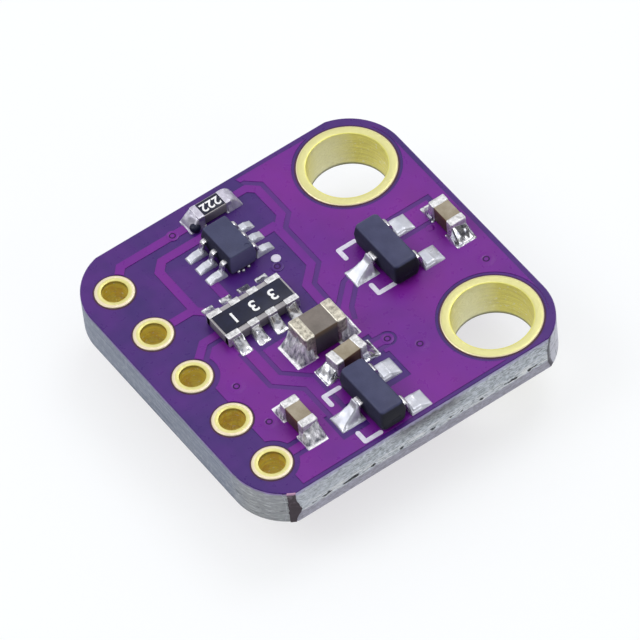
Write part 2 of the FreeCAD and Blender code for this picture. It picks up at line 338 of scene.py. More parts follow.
def maskFinishes():
    f = Finish("maskOverCopper", specularIorLevel=0.32)
    tone = f.blend(f.patches(0.35, 3.0), (101, 23, 134), (118, 25, 140))
    f.feed(baseColor=f.blend(f.patches(1.4, 4.0, 0.35, 0.7) * 0.3, tone, (105, 25, 151)))
    f.sheen(3.0, 3.0, 0.26, 0.34)
    f.bump(f.grain(1.6, 2.0), 0.005, 0.4)

    f = Finish("maskOverLaminate", specularIorLevel=0.32)
    weave, weft = (f.node("TexWave", {"bands_direction": way},
                          {"Vector": f.at(), "Scale": 0.55, "Distortion": 1.2}) for way in "XY")
    tone = f.blend(f.patches(0.5, 4.0), (57, 28, 106), (76, 28, 119))
    f.feed(baseColor=f.blend((weave + weft) * 0.05, tone, (91, 51, 138)))
    f.sheen(3.0, 3.0, 0.26, 0.34)
    f.bump(weave + weft, 0.002, 0.3)


def goldFinish(name, wall, lip, land, rim, rimStart, pale):  # pale: how far painted light whitens the side towards +X
    f = Finish(name, metallic=0.45)
    band = f.node("Attribute", {"attribute_name": "band"}, out=2)
    speck = f.patches(14.0, 3.0, 0.4, 0.72)
    fleck = f.spread(f.grain(6.0, 5.0, (1, 1, 1.6), 0.72), 0.42, 0.72)
    onWall = band < 0.01
    plate = f.node("ValToRGB", {"stops": [(0.0, lip), (0.2, land), (rimStart, land), (rimStart + 0.1, rim),
                                          (1.0, rim)]}, {"Fac": band})
    plate = f.blend(speck * 0.15, plate, (214, 200, 120))
    layer = f.spread(f.grain(1.4, 4.0, (0.6, 0.6, 12.0), 0.6), 0.35, 0.7)
    barrel = f.blend(layer * 0.4, wall, (170, 150, 62))
    barrel = f.blend(fleck * 0.5, barrel, (246, 238, 144))
    # painted light: the barrel's side towards +X is whitened
    barrel = f.blend(f.spread(f.facing(0), 0.7, 1.0) * pale, barrel, (255, 254, 222))
    # painted shade: the barrel's side towards -X is darkened
    barrel = f.blend(f.spread(f.facing(0), -0.3, -0.9) * 0.4, barrel, (150, 132, 66))
    # painted glints: bright specks on the barrel wall
    paintedGlint = f.grain(7.0, 2.0, (1, 1, 1.4)) > 0.66
    barrel = f.blend(paintedGlint * 0.9, barrel, (255, 250, 214))
    barrel = f.blend(f.spread(f.height(), boardLow + 0.12, boardLow), barrel, (112, 112, 88))
    if not pale:  # a narrow hole gets painted shade under its lip and glitters lower down
        shadeUnderLip = f.spread(f.height(), boardHigh - 0.16, boardHigh - 0.02)
        barrel = f.blend(shadeUnderLip * 0.7, barrel, (96, 78, 26))
        barrel = f.blend(f.patches(2.6, 3.0, 0.5, 0.62) * 0.3, barrel, (212, 140, 30))
    f.feed(baseColor=f.blend(onWall, plate, barrel),
           roughness=onWall * 0.12 + f.spread(speck, 0, 1, 0.3, 0.4))
    f.bump(fleck * (onWall * 0.85 + 0.15), 0.05, 0.6)


def laminateFinish():
    f = Finish("laminate", roughness=0.62, specularIorLevel=0.35)
    level = f.spread(f.height(), boardLow, boardHigh)
    layers = f.grain(1.0, 4.0, (0.5, 0.5, 16.0), 0.6)
    # painted light: the far rounded corner of the routed side is whitened
    litFarCorner = f.spread(f.along(1), 4.9, 5.5) * f.spread(f.along(0), 5.4, 6.2)
    nearCorner = f.spread(f.along(0), 4.2, 5.4) * f.spread(f.along(1), -5.0, -6.0)
    sawn = f.spread(f.along(0), 3.6, 5.0)  # where a blade left marks
    tone = f.blend(f.spread(layers, 0.3, 0.7), (104, 111, 127), (151, 157, 172))
    tone = f.blend(f.patches(5.0, 4.0, 0.5, 0.75) * 0.5, tone, (185, 187, 195))
    tone = f.blend(f.spread(level, 0.12, 0.0) * 0.55, tone, (79, 83, 102))
    tone = f.blend(litFarCorner * 0.75, tone, (222, 219, 229))
    tone = f.blend(nearCorner * 0.5, tone, (170, 168, 160))
    tone = f.blend(f.spread(f.grain(2.2, 3.0, (1, 1, 5.0)), 0.6, 0.66) * sawn * 0.6, tone, (86, 86, 90))
    tone = f.blend(f.spread(f.grain(3.0, 3.0, (1, 1, 6.0)), 0.55, 0.62) * sawn * 0.5, tone, (206, 208, 210))
    lilac = f.spread(level + f.grain(2.5, 3.0) * 0.12, 0.98, 1.06)
    f.feed(baseColor=f.blend(lilac, tone, (142, 113, 180)))
    f.bump(layers, 0.03, 0.6)


def snappedFinish():
    f = Finish("snappedEdge", specularIorLevel=0.4, roughness=0.6)
    level = f.spread(f.height(), boardLow, boardHigh)
    mottle = f.spread(f.grain(11.0, 3.0, (1.0, 0.5, 1.3), 0.6), 0.38, 0.62)
    off = level - (0.31 + f.grain(0.5, 2.0) * 0.05 + f.grain(4.0, 3.0) * 0.05)  # height above the tear
    apart = abs(off - 0.06)
    bundles = (f.along(1) * 5.2 + f.grain(0.9, 2.0) * 14.0).sine()
    strand = f.spread(f.grain(6.5, 3.0, (1.0, 0.22, 3.2), 0.6), 0.48, 0.6)
    slit = apart < (bundles + f.grain(1.3, 3.0) * 2.4 - 1.6) * 0.075
    tick = f.spread(f.grain(6.0, 3.0, (1.0, 0.55, 2.6), 0.6), 0.6, 0.66) * f.spread(level, 0.5, 0.8)
    worn = f.spread(abs(f.along(1) - 0.2), 1.9, 1.0)
    tone = f.blend(mottle, (156, 163, 169), (232, 236, 243))
    tone = f.blend(f.spread(f.along(1), -2.5, -5.0) * 0.4, tone, (208, 210, 218))
    tone = f.blend(strand * 0.55, tone, (228, 232, 240))
    tone = f.blend(f.spread(apart, 0.2, 0.08) * strand, tone, (255, 255, 255))
    tone = f.blend(worn * f.spread(level, 0.6, 0.85) * 0.75, tone, (92, 88, 94))
    tone = f.blend(tick * 0.7, tone, (72, 76, 84))
    lower = f.blend(mottle, (160, 156, 168), (192, 189, 204))
    tone = f.blend(f.spread(off, 0.0, -0.03), tone, lower)
    tone = f.blend(slit, tone, (38, 38, 46))
    fringe = f.spread(level + f.grain(3.5, 3.0) * 0.12, 0.95, 1.02)
    tone = f.blend(fringe * 0.8, tone, (190, 182, 222))
    across = abs(f.along(0) - shift)
    fromCorner = ((across - 4.6) ** 2 + (f.along(1) - 4.6) ** 2) ** 0.5
    endLine = f.spread(fromCorner, 2.37, 2.385) * (f.along(1) > 4.6)
    f.feed(baseColor=f.blend(endLine * 0.85, tone, (60, 54, 66)))
    f.bump(mottle + strand - slit * 2.0 - tick, 0.03, 0.7)


def tornFinish():
    f = Finish("tornTab", roughness=0.7, specularIorLevel=0.3)
    level = f.spread(f.height(), boardLow, boardHigh)
    tone = f.blend(f.grain(3.5, 4.0), (55, 45, 51), (79, 68, 76))
    chalky = f.patches(7.0, 3.0, 0.48, 0.6) * f.spread(level, 0.5, 0.9)
    tone = f.blend(chalky * 0.6, tone, (126, 112, 122))
    f.feed(baseColor=f.blend(f.spread(level, 0.93, 0.97), tone, (195, 151, 180)))
    f.bump(f.grain(4.0, 4.0), 0.05, 0.6)


def mouldedFinish(name, end):  # end: painted shade colour of the side towards +X
    f = Finish(name, specularIorLevel=0.3)
    speck = f.grain(16.0, 3.0, (1, 1, 1), 0.6)
    # painted shade: upright faces darker than the top, the side towards +X in the end colour
    steep = f.spread(f.upward(), 0.75, 0.3)
    tone = f.blend(f.patches(2.0, 3.0), (55, 58, 90), (63, 66, 99))
    tone = f.blend(steep, tone, f.blend(f.spread(f.facing(0), 0.2, 0.8), (38, 39, 62), end))
    # painted highlight: a lighter band along the lower edge of the body
    foot = f.spread(f.height(), boardHigh + 0.19, boardHigh + 0.13)
    f.feed(baseColor=f.blend(foot * 0.5, tone, (92, 88, 98)),
           roughness=f.spread(speck, 0.3, 0.7, 0.33, 0.42) + steep * 0.3)
    f.bump(speck, 0.012, 0.7)


def solderFinishes():
    f = Finish("solder", metallic=0.9)
    tone = f.blend(f.patches(2.6, 3.0), (206, 207, 214), (230, 230, 233))
    # painted reflections: dark patches in the solder's colour
    f.feed(baseColor=f.blend(f.patches(4.5, 3.0, 0.53, 0.61) * 0.7, tone, (118, 120, 138)))
    f.sheen(3.0, 2.0, 0.13, 0.27)
    f.bump(f.grain(3.5, 2.0), 0.02, 0.4)

    f = Finish("streakedSolder", metallic=0.3)
    # light and dark streaks in the colour paint reflections; roughness and bump follow the same streaks
    streak = f.spread(f.grain(7.0, 3.0, (1, 1, 0.2), 0.62), 0.36, 0.64)
    # painted dark reflections, in patches towards the foot
    foot = f.spread(f.height() + f.grain(5.0, 2.0) * 0.2, boardHigh + 0.38, boardHigh + 0.16)
    # painted highlight: a bright rim where the solder meets the pad
    rim = f.spread(f.height(), boardHigh + 0.1, boardHigh + 0.06)
    tone = f.blend(streak, (126, 128, 138), (246, 246, 250))
    tone = f.blend(foot * f.patches(6.0, 3.0, 0.5, 0.54) * 0.9, tone, (34, 42, 70))
    f.feed(baseColor=f.blend(rim, tone, (244, 243, 248)), roughness=f.spread(streak, 0, 1, 0.34, 0.18))
    f.bump(streak, 0.02, 0.5)


def endMetal(name, dark, light, rim):
    f = Finish(name, metallic=0.7)
    mottle = f.spread(f.grain(6.0, 4.0, (1, 1, 1), 0.65), 0.36, 0.62)
    # painted highlight: the rounded edges between top and sides take the rim colour
    edge = f.spread(f.upward(), 0.97, 0.86) * f.spread(f.upward(), 0.3, 0.5)
    f.feed(baseColor=f.blend(edge * 0.8, f.blend(mottle, dark, light), rim),
           roughness=f.spread(mottle, 0, 1, 0.42, 0.3))
    f.bump(f.grain(9.0, 4.0), 0.015, 0.6)


def ceramic(name, dark, light, side, foot, top):  # top: the chip's height
    f = Finish(name, specularIorLevel=0.4)
    fine = f.grain(14.0, 4.0)
    tone = f.blend(f.patches(1.8, 4.0) * 0.7 + f.spread(fine, 0.3, 0.7) * 0.3, dark, light)
    # painted shade: upright faces take the side colour, darkening to the foot colour towards the board
    wall = f.blend(f.spread(f.height(), boardHigh + top * 0.72, boardHigh + top), foot, side)
    f.feed(baseColor=f.blend(f.spread(f.upward(), 0.75, 0.3), tone, wall),
           roughness=f.spread(fine, 0.3, 0.7, 0.42, 0.55))
    f.bump(fine, 0.006, 0.5)


def evenFinish(name, tones, mottle, contrast=(0.35, 0.65), sheen=None, bump=None, **fixed):
    f = Finish(name, **fixed)
    f.feed(baseColor=f.blend(f.spread(f.grain(*mottle), *contrast), *tones))
    if sheen:
        f.sheen(*sheen)
    if bump:
        f.bump(f.grain(*bump[:2]), *bump[2:])


def makeFinishes():
    maskFinishes()
    goldFinish("screwGold", wall=(255, 248, 140), lip=(226, 222, 108), land=(212, 208, 144),
               rim=(244, 228, 192), rimStart=0.86, pale=0.8)
    goldFinish("pinGold", wall=(255, 234, 84), lip=(214, 202, 104), land=(218, 212, 142),
               rim=(230, 216, 188), rimStart=0.5, pale=0.0)
    laminateFinish()
    snappedFinish()
    tornFinish()
    # two copies of one moulding, differing only in the painted shade or light on the side towards +X
    mouldedFinish("moulding", (17, 18, 33))
    mouldedFinish("paleMoulding", (84, 79, 120))
    solderFinishes()
    # the last colour of each: painted highlight on the rounded edges
    endMetal("chipMetal", (176, 176, 178), (226, 226, 228), (232, 232, 234))
    endMetal("dullMetal", (140, 135, 124), (212, 206, 190), (252, 248, 234))
    endMetal("lilacMetal", (182, 178, 194), (204, 202, 216), (222, 220, 230))
    # the side and foot colours are painted shade on the upright faces
    ceramic("tanCeramic", (136, 124, 102), (166, 156, 138), (112, 78, 52), (72, 48, 40), 0.84)
    ceramic("greyCeramic", (102, 95, 89), (127, 118, 112), (120, 100, 74), (72, 68, 76), 1.26)
    ceramic("whiteCeramic", (142, 138, 142), (176, 173, 176), (138, 134, 140), (116, 112, 120), 0.5)

    # Even finishes: two tones and their noise; sheen and bump each start with the noise's scale and detail
    raw = (0.0, 1.0)
    evenFinish("maskInGap", ((76, 33, 118), (88, 35, 126)), (0.8, 3.0), bump=(2.0, 3.0, 0.004, 0.4),
               specularIorLevel=0.32, roughness=0.3)
    # bare laminate at the mask's openings, darkened as painted shade
    evenFinish("openingEdgeShade", ((62, 34, 66), (88, 52, 70)), (6.0, 3.0), raw,
               roughness=0.6, specularIorLevel=0.3)
    evenFinish("viaMask", ((40, 8, 62), (60, 16, 86)), (8.0,), raw, roughness=0.45, specularIorLevel=0.15)
    evenFinish("tinPlate", ((194, 194, 199), (220, 219, 222)), (5.0, 3.0), sheen=(9.0, 3.0, 0.2, 0.34),
               bump=(8.0, 3.0, 0.01, 0.5), metallic=0.95)
    evenFinish("satinSolder", ((176, 173, 190), (206, 204, 218)), (4.0, 3.0),
               sheen=(4.0, 3.0, 0.44, 0.34, 0.35, 0.65), bump=(5.0, 3.0, 0.015, 0.5), metallic=0.5)
    evenFinish("paleSolder", ((193, 196, 207), (213, 215, 224)), (2.4, 3.0),
               sheen=(2.4, 3.0, 0.36, 0.26, 0.35, 0.65), bump=(3.5, 2.0, 0.012, 0.4), metallic=0.5)
    evenFinish("blackGlaze", ((14, 17, 42), (22, 26, 56)), (3.0, 3.0), sheen=(12.0, 3.0, 0.36, 0.46),
               bump=(5.0, 3.0, 0.008, 0.4), specularIorLevel=0.3)
    evenFinish("whiteInk", ((206, 202, 222), (226, 223, 238)), (6.0, 4.0), (0.3, 0.7),
               bump=(12.0, 3.0, 0.006, 0.6), roughness=0.5, specularIorLevel=0.4)
    evenFinish("codeInk", ((232, 234, 238), (252, 252, 252)), (9.0, 4.0), (0.3, 0.7),
               roughness=0.5, specularIorLevel=0.4)
    evenFinish("sensorShell", ((26, 27, 31), (40, 41, 46)), (12.0, 3.0), raw, sheen=(12.0, 3.0, 0.45, 0.58),
               bump=(12.0, 3.0, 0.008, 0.6), specularIorLevel=0.5)
    evenFinish("sensorLaminate", ((46, 60, 38), (74, 88, 60)), (2.0, 4.0, (1, 1, 8)), raw,
               roughness=0.55, specularIorLevel=0.4)
    evenFinish("silicon", ((58, 62, 84), (82, 78, 110)), (1.5, 2.0), raw, sheen=(6.0, 2.0, 0.12, 0.22),
               metallic=0.4, specularIorLevel=0.7)
    evenFinish("emitterDie", ((190, 160, 88), (222, 204, 150)), (6.0, 3.0), raw, sheen=(8.0, 2.0, 0.25, 0.4),
               metallic=0.3)
    glass = Finish("sensorGlass", baseColor=shade(232, 240, 244), ior=1.5, transmissionWeight=1.0)
    glass.sheen(1.2, 2.0, 0.02, 0.06)


makeFinishes()
print("materials ready:", len(paint))


studio = {"lens": 411.2, "away": (0.14637, -0.08461, 0.21345), "floorSize": 1.2,
          "floorTone": (0.89, 0.94, 0.99, 1), "floorGlow": 0.68, "dome": (-0.4, 0.05, 0.915),
          "domeEdge": (0.1, 0.75), "dim": 0.055, "bright": 0.92}
lamps = {"keyBox": ((-0.16, -0.3, 0.36), 0.26, 0.575),  # place, size, power
         "fillBox": ((0.42, 0.1, 0.2), 0.22, 0.39),
         "topBox": ((-0.1, 0.22, 0.4), 0.2, 0.41)}


def setCamera():  # fitted to the header row and the board's outline
    right = Vector((0.5772588, 0.81321351, -0.07386515))
    down = Vector((0.61187339, -0.4906852, -0.62035392))
    ahead = Vector((-0.54072473, 0.31290864, -0.78083606))
    letGo()
    bpy.ops.object.camera_add(location=studio["away"])
    camera = bpy.context.object
    camera.rotation_euler = Matrix((right, -down, -ahead)).transposed().to_euler()
    camera.data.lens, camera.data.sensor_width = studio["lens"], 36
    camera.data.clip_start, camera.data.clip_end = 0.01, 20
    bpy.context.scene.camera = camera


def layFloor():  # white to the camera, but it keeps the board's shadow
    letGo()
    bpy.ops.mesh.primitive_plane_add(size=studio["floorSize"], location=(0, 0, -0.0002))
    floor = named("studioFloor")
    pinDown()
    f = Finish("floorPaper", baseColor=studio["floorTone"], roughness=0.9)
    seen = f.node("LightPath", out="Is Camera Ray")
    for ray in ("Is Glossy Ray", "Is Transmission Ray"):
        seen = seen.maths("MAXIMUM", f.node("LightPath", out=ray))
    glow = f.node("Emission", {}, {"Strength": 1.0})
    plain = Wire(f, f.shader.outputs[0])
    paper = f.node("MixShader", {}, {0: seen * studio["floorGlow"], 1: plain, 2: glow})
    f.tree.links.new(paper.socket, f.tree.nodes["Material Output"].inputs["Surface"])
    floor.data.materials.append(f.material)


def lightRoom():
    world = bpy.data.worlds.new("studioRoom")
    bpy.context.scene.world = world
    world.use_nodes = True
    nodes, links = world.node_tree.nodes, world.node_tree.links
    way = nodes.new("ShaderNodeTexCoord")
    facing = nodes.new("ShaderNodeVectorMath")
    facing.operation = "DOT_PRODUCT"
    facing.inputs[1].default_value = studio["dome"]
    links.new(way.outputs["Generated"], facing.inputs[0])
    ramp = nodes.new("ShaderNodeMapRange")
    ramp.interpolation_type = "SMOOTHSTEP"
    ramp.inputs["From Min"].default_value, ramp.inputs["From Max"].default_value = studio["domeEdge"]
    ramp.inputs["To Min"].default_value = studio["dim"]
    ramp.inputs["To Max"].default_value = studio["bright"]
    links.new(facing.outputs["Value"], ramp.inputs["Value"])
    links.new(ramp.outputs[0], nodes["Background"].inputs["Strength"])
    nodes["Background"].inputs["Color"].default_value = (1, 1, 1, 1)
    for name, (spot, size, power) in lamps.items():
        letGo()
        bpy.ops.object.light_add(type="AREA", location=spot)
        lamp = bpy.context.object
        lamp.name = name
        lamp.data.size, lamp.data.energy = size, power
        lamp.rotation_euler = (-Vector(spot)).to_track_quat("-Z", "Y").to_euler()
    bpy.context.scene.view_settings.view_transform = "Standard"


setCamera()
layFloor()
lightRoom()
print("camera, lamps and floor set")


board = {"length": 14.0, "side": 6.9, "panel": 7.0, "corner": 2.4, "grooveDepth": 0.5, "grooveLean": 9,
         "skin": 0.04, "wall": 0.045, "lap": 0.005, "mountHole": 3.1, "mountRing": 3.85,
         "mountOpening": 1.985, "headerHole": 1.0, "headerRing": 1.54, "headerOpening": 0.82}
mounts = [(shift - 4.6, 4.65), (shift + 4.6, 4.65)]
headers = [(shift + 2.54 * i, -5.6) for i in range(-2, 3)]
lean = math.tan(math.radians(board["grooveLean"]))


def panel(name, low, high, inset=0.0):
    piece = block(name, (2 * (board["panel"] - inset), board["length"] - 2 * inset, high - low),
                  (shift, 0, (low + high) / 2))
    choose(piece, "edges", lambda e: abs(e.verts[0].co.z - e.verts[1].co.z) > 0.001)
    bpy.ops.mesh.bevel(offset=board["corner"] - inset, segments=20, affect="EDGES")
    letGo()
    return piece


def snapped(piece, setBack):
    side, depth = board["side"] - setBack, board["grooveDepth"]
    for way in (-1, 1):
        for height, drop in ((boardHigh - depth, 1), (boardLow + depth, -1), (0, 0)):
            everything(piece)
            bpy.ops.mesh.bisect(plane_co=(way * side, 0, height), plane_no=(way, 0, drop * lean),
                                use_fill=True, clear_outer=True)
    letGo()
    return piece


def drills(radius, spots, sides=64):  # cutting rods right through the board
    return [rod("drill", radius, 0, 6, *spot, sides) for spot in spots]


def edgeReach(z):  # x of a snapped side at one height
    return board["side"] - lean * max(0, board["grooveDepth"] - min(z - boardLow, boardHigh - z))


def arcReach(x, way):  # y at which the rounded corner crosses that x
    middle = board["panel"] - board["corner"] + way * shift
    return board["length"] / 2 - board["corner"] + math.sqrt(board["corner"] ** 2 - (x - middle) ** 2)


def snappedStrip(name, way):
    torn = {"along": 280, "up": 34, "depth": 0.3, "web": 0.035, "bevel": 0.014}
    piece = sheet(name, torn["along"], torn["up"])
    for vertex in piece.data.vertices:
        u, v = vertex.co.x, vertex.co.y
        z = boardLow + board["skin"] + (v + 0.5) * (boardHigh - boardLow - 2 * board["skin"])
        x = edgeReach(z)
        y = 2 * u * arcReach(x, way)
        inWeb = 0.5 < z - boardLow < 1.22
        fade = min(1, 12 * (0.5 - abs(u))) * min(1, 8 * (0.5 - abs(v)))
        ragged = rough(y, z, 0, 2.6, 5 * way) * 0.6 + rough(y, 2.5 * z, 0, 9.0, 7) * 0.4
        dent = (torn["web"] if inWeb else torn["bevel"]) * ragged * fade
        vertex.co = (way * (x - 0.01 + dent), y, z)
    everything(piece)
    pull(-way * torn["depth"])
    mesh = bmesh.from_edit_mesh(piece.data)
    for vertex in mesh.verts:
        if vertex.select:
            z = vertex.co.z
            front = edgeReach(z)
            vertex.co.y *= arcReach(front - torn["depth"], way) / arcReach(front, way)
            vertex.co.x = way * (front - torn["depth"])
    bmesh.update_edit_mesh(piece.data)
    letGo()
    return cleaned(piece, 0.0002)


def makeBoard():
    core = snapped(panel("boardCore", boardLow + board["skin"], boardHigh - board["skin"]), 0.1)
    core = cutBy(core, drills(board["mountHole"] / 2 + board["wall"], mounts, 96)
                 + drills(board["headerHole"] / 2 + board["wall"], headers))
    dressed(softened(core, 0.02, 1), paint["laminate"], ["printed_circuit_board"])
    for name, way in (("snappedSideRight", 1), ("snappedSideLeft", -1)):
        dressed(snappedStrip(name, way), paint["snappedEdge"], angle=60)
    for name, low in (("solderMaskTop", boardHigh - board["skin"]), ("solderMaskUnder", boardLow)):
        skin = snapped(panel(name, low, low + board["skin"], 0.02), 0.02)
        openings = drills(board["mountOpening"], mounts, 96) + drills(board["headerOpening"], headers)
        dressed(softened(cutBy(skin, openings), 0.015, 1), paint["maskOverLaminate"])


makeBoard()


def maskOpenings():  # the bare ring of laminate round each gold land, painted dark as shade at the mask's opening
    washers = []
    for spots, hole, opening in ((mounts, "mountHole", "mountOpening"),
                                 (headers, "headerHole", "headerOpening")):
        inner, outer = board[hole] / 2 + 0.05, board[opening] + board["lap"]
        for level, rise in ((boardHigh - board["skin"], 0.034), (boardLow + 0.015, 0.012)):
            model = lathe("washer", [(inner, level - 0.01), (outer, level - 0.01), (outer, level + rise),
                                     (inner, level + rise)], 72)
            washers += [twin(model, "washer", *at) for at in spots]
            bpy.data.objects.remove(model)
    dressed(joined("maskOpeningEdgesShaded", washers), paint["openingEdgeShade"])


def scorchedCorner():  # where the corner's cutter broke through
    mark = {"first": -35.4, "last": -27.8, "slant": 1.8, "bulge": 5.0, "ragged": 1.2,
            "proud": 0.014, "deep": 0.12}
    piece = sheet("scorchedCorner", 16, 28)
    for vertex in piece.data.vertices:
        u, v = vertex.co.x + 0.5, vertex.co.y + 0.5
        lower = mark["slant"] * (1 - v)
        bulge = mark["bulge"] * math.exp(-((v - 0.42) / 0.2) ** 2)
        last = mark["last"] - lower + bulge + mark["ragged"] * rough(v, 0, 0, 9.0, 4)
        first = mark["first"] + 0.1 * lower + mark["ragged"] * rough(v, 1, 0, 11.0, 2)
        turn = math.radians(first + (last - first) * u)
        radius = board["corner"] + mark["proud"] * (1 + 0.7 * rough(u, v * 2, 0, 5.0, 9))
        middle = board["panel"] - board["corner"]
        vertex.co = (middle + shift + radius * math.cos(turn), radius * math.sin(turn) - middle,
                     boardLow + 0.01 + v * (boardHigh - boardLow - 0.015))
    everything(piece)
    pull(-mark["deep"] * 0.85, mark["deep"] * 0.5)
    letGo()
    dressed(cleaned(piece, 0.0002), paint["tornTab"], angle=50)


maskOpenings()
scorchedCorner()
print("board made")


pattern = {"raise": 0.022, "edge": 0.24, "gap": 0.2, "ringRoom": 2.1, "cornerRoom": (2.6, 3.4, 8),
           "pinRoom": 1.02, "pinJoin": 0.84, "viaRoom": 0.36, "viaLand": 0.26, "soft": 0.014,
           "pinRoomUnder": 0.96, "sensorRoom": (6.4, 4.1, 8)}
rightX, leftX = 6.64, -6.6
tracks = [  # each line's points, then its width
    ([(-6.0, 0.5), (-6.0, 1.05), (-5.7, 1.37), (-4.15, 1.37), (-3.65, 0.87), (-1.5, 0.87), (-0.8, 0.17),
      (0.6, 0.12)], 0.34),
    ([(-3.85, 0.95), (-3.85, 0.2)], 0.4),
    ([(0.05, 1.75), (0.15, 1.45), (0.95, 0.65), (1.55, 0.4)], 0.3),
    ([(3.1, 0.2), (3.13, 1.02)], 0.3),
    ([(-5.0, -5.5), (-5.85, -4.75), (-5.85, -1.8)], 0.36),
    ([(-5.1, -1.5), (-5.1, -3.4), (-4.72, -3.77), (-2.45, -3.77), (-2.45, -5.2)], 0.36),
    ([(-2.5, -3.9), (-2.1, -3.5)], 0.36),
    ([(-0.95, -3.5), (-0.95, -4.4), (-0.3, -5.1), (0.0, -5.4)], 0.34),
    ([(0.3, -3.3), (2.1, -3.3), (3.0, -2.38), (5.3, -2.38)], 0.44),
    ([(5.17, -5.2), (5.17, -4.0)], 0.36),
    ([(-3.1, -2.5), (-2.1, -2.5)], 0.36),
    ([(-0.88, 3.7), (-0.88, 6.0)], 0.84),
]
vias = [(2.37, 6.08), (4.07, 1.82), (3.13, 1.02), (1.47, -4.6), (3.56, -4.6), (-5.85, -2.4), (-2.2, -0.18)]
smallVias = (2, 5, 6)
padRooms = [((1.24, 2.5, 8), (-0.88, 4.97, 2)), ((1.4, 1.2, 8), (4.32, 0.15, 2)),
            ((1.2, 0.9, 8), (3.12, 0.15, 2)), ((1.3, 1.2, 8), (5.3, -2.35, 2))]


def cornerArc(x, y, first, last, radius, steps=14):
    turns = [math.radians(first + (last - first) * i / steps) for i in range(steps + 1)]
    return [(x + radius * math.cos(turn), y + radius * math.sin(turn)) for turn in turns]


def pourOutline():
    radius = board["corner"] - pattern["edge"]
    middle = board["panel"] - board["corner"]
    points = [(-0.6, -5.25), (rightX, -5.25), (rightX, 5.0)]
    points += [p for p in cornerArc(middle + shift, middle, 0, 90, radius) if p[0] < rightX]
    points += [p for p in cornerArc(shift - middle, middle, 90, 180, radius) if p[0] > leftX]
    return points + [(leftX, 1.0), (-6.2, 1.1), (-5.85, 1.45), (-4.1, 1.45), (-3.6, 0.95), (-1.45, 0.95),
                     (-0.75, 0.25), (0.7, 0.2), (0.7, -3.0), (-0.6, -3.55)]


def makeCopper():
    low, high = boardHigh - 0.03, boardHigh + pattern["raise"]
    pour = outlinePlate("maskedPour", pourOutline(), low, high)
    tools = [outlinePlate("gap", ribbon(path, width + 2 * pattern["gap"]), low - 1, high + 1)
             for path, width in tracks]
    tools += drills(pattern["ringRoom"], mounts, 96)
    tools += [block("gap", pattern["cornerRoom"], (way * 6.9 + shift, 6.1, 2)) for way in (-1, 1)]
    tools += drills(pattern["pinRoom"], (headers[2], headers[4])) + drills(pattern["pinJoin"], headers[3:4])
    tools += drills(pattern["viaRoom"], vias[2:3], 32) + [block("gap", *room) for room in padRooms]
    pour = cutBy(pour, tools)
    dressed(softened(pour, pattern["soft"], 1), paint["maskOverCopper"])

    pools = [outlinePlate("pool", ribbon(path, width + 2 * pattern["gap"] + 0.02), low, boardHigh + 0.004)
             for path, width in tracks[:4] + tracks[6:9] + tracks[11:]]
    pooled = merged(pools[0], pools[1:])
    combined(pooled, [outlinePlate("field", pourOutline(), low - 1, high + 1)], "INTERSECT", own=False)
    pooled = cutBy(pooled, drills(pattern["pinJoin"], headers))
    dressed(named("maskInGaps", pooled), paint["maskInGap"])

    strips = [outlinePlate("track%d" % i, ribbon(path, width), low, high)
              for i, (path, width) in enumerate(tracks)]
    strips.append(rod("viaLand", pattern["viaLand"], low, high, *vias[2], 32))
    lines = cutBy(merged(strips[0], strips[1:]), drills(pattern["pinJoin"], headers))
    dressed(softened(named("maskedTracks", lines), pattern["soft"], 1), paint["maskOverCopper"])


def underCopper():  # the other face's pour, with the sensor's place left bare
    low, high = boardLow - pattern["raise"], boardLow + 0.03
    lines = [[(-5.0, -6.9), (-5.0, -3.6), (-3.2, -1.9)], [(-2.45, -4.8), (-2.45, -3.0), (-1.6, -2.2)],
             [(2.6, -4.8), (2.6, -3.2), (1.8, -2.4)], [(6.9, 1.6), (4.6, 1.6), (3.4, 0.6)]]
    pour = snapped(panel("maskedPourUnder", low, high, pattern["edge"]), 0.26)
    tools = drills(pattern["ringRoom"], mounts, 96) + drills(pattern["pinRoomUnder"], headers)
    tools += [outlinePlate("gap", ribbon(line, 0.2), low - 1, high + 1) for line in lines]
    tools.append(block("gap", pattern["sensorRoom"], (0, 0, 2)))
    dressed(softened(cutBy(pour, tools), pattern["soft"], 1), paint["maskOverCopper"])


makeCopper()
underCopper()
print("copper pattern made")


def makeVias():
    size = {"ring": 0.38, "slope": 0.3, "crown": 0.2, "lip": 0.16, "well": 0.13, "plug": 0.085,
            "rise": 0.012, "sunk": 0.03}
    high = boardHigh + pattern["raise"]
    low, crest = high - size["sunk"], high + size["rise"]
    ring = lathe("ring", [(size["ring"], low), (size["ring"], high + 0.002), (size["slope"], high + 0.005),
                          (size["crown"] + 0.03, crest - 0.002), (size["crown"], crest),
                          (size["lip"], crest - 0.003), (size["well"], high + 0.001), (size["well"], low)], 40)
    well = softened(rod("well", size["plug"], low, high + 0.006, sides=32), 0.004, 1)
    groove = lathe("groove", [(0.08, low), (0.15, low), (0.15, high + 0.003), (0.08, high + 0.003)], 32)
    small = twin(ring, "smallRing")
    for vertex in small.data.vertices:
        radius = math.hypot(vertex.co.x, vertex.co.y)
        if radius > size["crown"]:
            vertex.co.x, vertex.co.y = (c * (size["crown"] + 0.25 * (radius - size["crown"])) / radius
                                        for c in vertex.co.xy)
    for i, at in enumerate(vias):
        coat = "maskOverLaminate" if i == len(vias) - 1 else "maskOverCopper"
        above = small if i in smallVias else ring
        for part, top, under, finish, angle in (("Ring", above, small, coat, 60),
                                                ("Well", well, well, coat, 35),
                                                ("Groove", groove, groove, "viaMask", 35)):
            dressed(twin(top, "via%s%d" % (part, i + 1), *at), paint[finish], angle=angle)
            below = twin(under, "via%sUnder%d" % (part, i + 1))
            hold(below)
            below.rotation_euler, below.location = (math.pi, 0, 0), (*at, boardLow + boardHigh)
            pinDown()
            dressed(below, paint[finish], angle=60)
    for model in (ring, small, well, groove):
        bpy.data.objects.remove(model)


makeVias()


